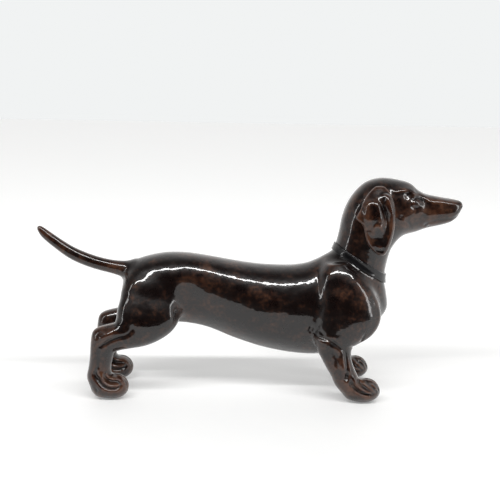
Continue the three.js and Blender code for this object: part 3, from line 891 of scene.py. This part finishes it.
def brown_glaze():
    """Near-black where the glaze is thick, reddish brown mottling where it is thin."""
    g = Nodes("brown_glaze")
    thin = g.add("Attribute", [("attribute_name", "thinness")]).outputs["Fac"]
    mottle = g.noise(420, 3, 0.5)
    patch = g.noise(120, 3, 0.55, 0.2)
    cloud = g.noise(42, 3, 0.5)
    level = g.math("ADD", g.math("MULTIPLY", mottle, 0.6), g.math("MULTIPLY", patch, 0.6))
    level = g.math("ADD", level, g.math("MULTIPLY", cloud, 0.7))
    level = g.math("ADD", level, g.math("MULTIPLY", thin, 0.5))
    mask = g.ramp(level, 0.9, 1.45)
    warm = g.mix(g.ramp(patch, 0.35, 0.7), GLAZE_RED, GLAZE_TAN)
    g.feed(g.shader.inputs["Base Color"], g.mix(mask, GLAZE_THICK, warm))
    g.feed(g.shader.inputs["Roughness"], g.ramp(patch, 0.3, 0.7, 0.26, 0.4))
    g.shader.inputs["Specular IOR Level"].default_value = 0.2
    g.shader.inputs["Coat Weight"].default_value = 1.0
    g.shader.inputs["Coat Roughness"].default_value = 0.05
    g.shader.inputs["Coat IOR"].default_value = 1.5
    fine = g.math("MULTIPLY", g.noise(640, 2), 0.15)
    peel = g.math("ADD", fine, g.math("MULTIPLY", g.noise(130, 2), 1.5))
    peel = g.math("ADD", peel, g.math("MULTIPLY", g.noise(50, 2), 3.5))
    bump = g.add("Bump", Height=peel, Strength=0.5, Distance=0.0003).outputs[0]
    g.feed(g.shader.inputs["Normal"], bump)
    g.feed(g.shader.inputs["Coat Normal"], bump)
    return g.material


def black_glaze():
    """A plain black, a little uneven in depth and gloss."""
    g = Nodes("black_glaze")
    cloud = g.noise(300, 3)
    g.feed(g.shader.inputs["Base Color"], g.mix(cloud, BLACK_DEEP, BLACK_LIGHT))
    g.feed(g.shader.inputs["Roughness"], g.ramp(cloud, 0.3, 0.7, 0.3, 0.45))
    g.shader.inputs["Specular IOR Level"].default_value = 0.2
    g.shader.inputs["Coat Weight"].default_value = 0.7
    g.shader.inputs["Coat Roughness"].default_value = 0.05
    bump = g.add("Bump", Height=g.noise(600, 2), Strength=0.3, Distance=0.0001).outputs[0]
    g.feed(g.shader.inputs["Normal"], bump)
    g.feed(g.shader.inputs["Coat Normal"], bump)
    return g.material


def pale_floor():
    """Pale and matt, with a glow that grows towards the back so that it stays even."""
    g = Nodes("pale_floor")
    g.feed(g.shader.inputs["Base Color"], g.mix(g.noise(30, 3), *FLOOR_TONES))
    g.shader.inputs["Roughness"].default_value = 0.55
    g.shader.inputs["Specular IOR Level"].default_value = 0.2
    g.shader.inputs["Emission Color"].default_value = (0.99, 1, 1, 1)
    depth = g.add("SeparateXYZ", Vector=g.place).outputs[1]
    g.feed(g.shader.inputs["Emission Strength"], g.ramp(depth, -0.45, 0.7, 0.12, 0.5))
    return g.material


# ---- Making ----------------------------------------------------------------------------------

def make_figure():
    brown = brown_glaze()
    joints = [("neck",), ("tail",), ("rear", 1), ("rear", -1), ("front", 1), ("front", -1)]
    cast("torso", shape_torso(), joints, brown, 0.0)
    cast("tail", shape_tail(), [("tail", 1, -1)], brown, 0.1)
    head = shape_head()
    ears = [shape_ear(-1), shape_ear(1)]
    join_ears(head, ears)
    cast("head", head, [("neck", 1, -1)], brown, 0.12)
    cast("ear_right", ears[0], [], brown, 0.15)
    cast("ear_left", ears[1], [], brown, 0.15)
    for name, side in (("right", -1), ("left", 1)):
        cast("rear_" + name + "_leg", shape_rear_leg(side), [("rear", side, -1)], brown, 0.15)
        cast("front_" + name + "_leg", shape_front_leg(side), [("front", side, -1)], brown, 0.12)
    make_collar(black_glaze())


# ---- Stage -----------------------------------------------------------------------------------

CAMERA_PLACE = Vector((-33.99, -719.2, 245.9)) * MM
CAMERA_YAW = 2.7
CAMERA_DOWN = 11.0
CAMERA_ROLL = 1.2
CAMERA_LENS = 72
FLOOR_FRONT = [(-5, -0.25), (-0.13, -0.25), (0.05, -0.36), (5, -0.36)]
FLOOR_BACK = [(5, 3), (-5, 3)]
LIGHTS_AIM = (0, 0, 0.09)       # the middle of the figurine


def add_camera():
    data = bpy.data.cameras.new("camera")
    data.lens = CAMERA_LENS
    data.sensor_width = 36
    camera = bpy.data.objects.new("camera", data)
    bpy.context.scene.collection.objects.link(camera)
    yaw, down, roll = (math.radians(v) for v in (CAMERA_YAW, CAMERA_DOWN, CAMERA_ROLL))
    forward = Vector((math.sin(yaw) * math.cos(down), math.cos(yaw) * math.cos(down), -math.sin(down)))
    right = Vector((math.cos(yaw), -math.sin(yaw), 0))
    up = right.cross(forward)
    across = math.cos(roll) * right + math.sin(roll) * up
    above = math.cos(roll) * up - math.sin(roll) * right
    camera.matrix_world = Matrix([*zip(across, above, -forward, CAMERA_PLACE), (0, 0, 0, 1)])
    bpy.context.scene.camera = camera


def add_floor():
    """A level pale floor. Its near edge is where the flank stops mirroring it."""
    corners = [(x, y, 0) for x, y in FLOOR_FRONT + FLOOR_BACK]
    mesh = bpy.data.meshes.new("floor")
    mesh.from_pydata(corners, [], [tuple(range(len(corners)))])
    mesh.materials.append(pale_floor())
    floor = bpy.data.objects.new("floor", mesh)
    bpy.context.scene.collection.objects.link(floor)


def add_light(name, place_at, size, power):
    data = bpy.data.lights.new(name, "AREA")
    data.shape = "RECTANGLE"
    data.size, data.size_y = size
    data.energy = power
    lamp = bpy.data.objects.new(name, data)
    lamp.location = place_at
    lamp.rotation_euler = (Vector(LIGHTS_AIM) - Vector(place_at)).to_track_quat("-Z", "Y").to_euler()
    bpy.context.scene.collection.objects.link(lamp)


def add_world():
    """A pale backdrop for the camera; for the glaze a bright room with a dark side."""
    world = bpy.data.worlds.new("studio")
    bpy.context.scene.world = world
    world.use_nodes = True
    tree = world.node_tree
    links = tree.links
    new = tree.nodes.new
    backdrop = tree.nodes["Background"]
    backdrop.inputs[0].default_value = (0.88, 0.895, 0.895, 1)
    split = new("ShaderNodeSeparateXYZ")
    links.new(new("ShaderNodeTexCoord").outputs["Generated"], split.inputs[0])

    def ramp(value, low, high, to_low, to_high):
        node = new("ShaderNodeMapRange")
        node.interpolation_type = "SMOOTHSTEP"
        links.new(value, node.inputs[0])
        for socket, number in zip(node.inputs[1:5], (low, high, to_low, to_high)):
            socket.default_value = number
        return node.outputs[0]

    def larger(first, second):
        node = new("ShaderNodeMath")
        node.operation = "MAXIMUM"
        links.new(first, node.inputs[0])
        links.new(second, node.inputs[1])
        return node.outputs[0]

    x, y, z = split.outputs
    behind = ramp(y, -0.25, 0.85, 0.012, 1.1)
    right_side = ramp(x, 0.78, 0.94, 0.0, 0.9)
    left_side = ramp(x, -0.86, -0.97, 0.0, 0.5)
    room = new("ShaderNodeBackground")
    links.new(larger(larger(behind, right_side), left_side), room.inputs[1])
    room.inputs[0].default_value = (1.0, 0.99, 0.98, 1)
    mix = new("ShaderNodeMixShader")
    links.new(new("ShaderNodeLightPath").outputs["Is Camera Ray"], mix.inputs[0])
    links.new(room.outputs[0], mix.inputs[1])
    links.new(backdrop.outputs[0], mix.inputs[2])
    links.new(mix.outputs[0], tree.nodes["World Output"].inputs[0])


make_figure()
add_camera()
add_floor()
add_world()
add_light("strip", (0, -0.72, 1.15), (2.2, 0.1), 22)
add_light("left_edge", (-1.2, -0.5, 0.45), (0.07, 0.9), 1.5)
add_light("right_edge", (1.2, -0.58, 0.45), (0.14, 0.9), 2.5)
bpy.context.scene.view_settings.view_transform = "Standard"
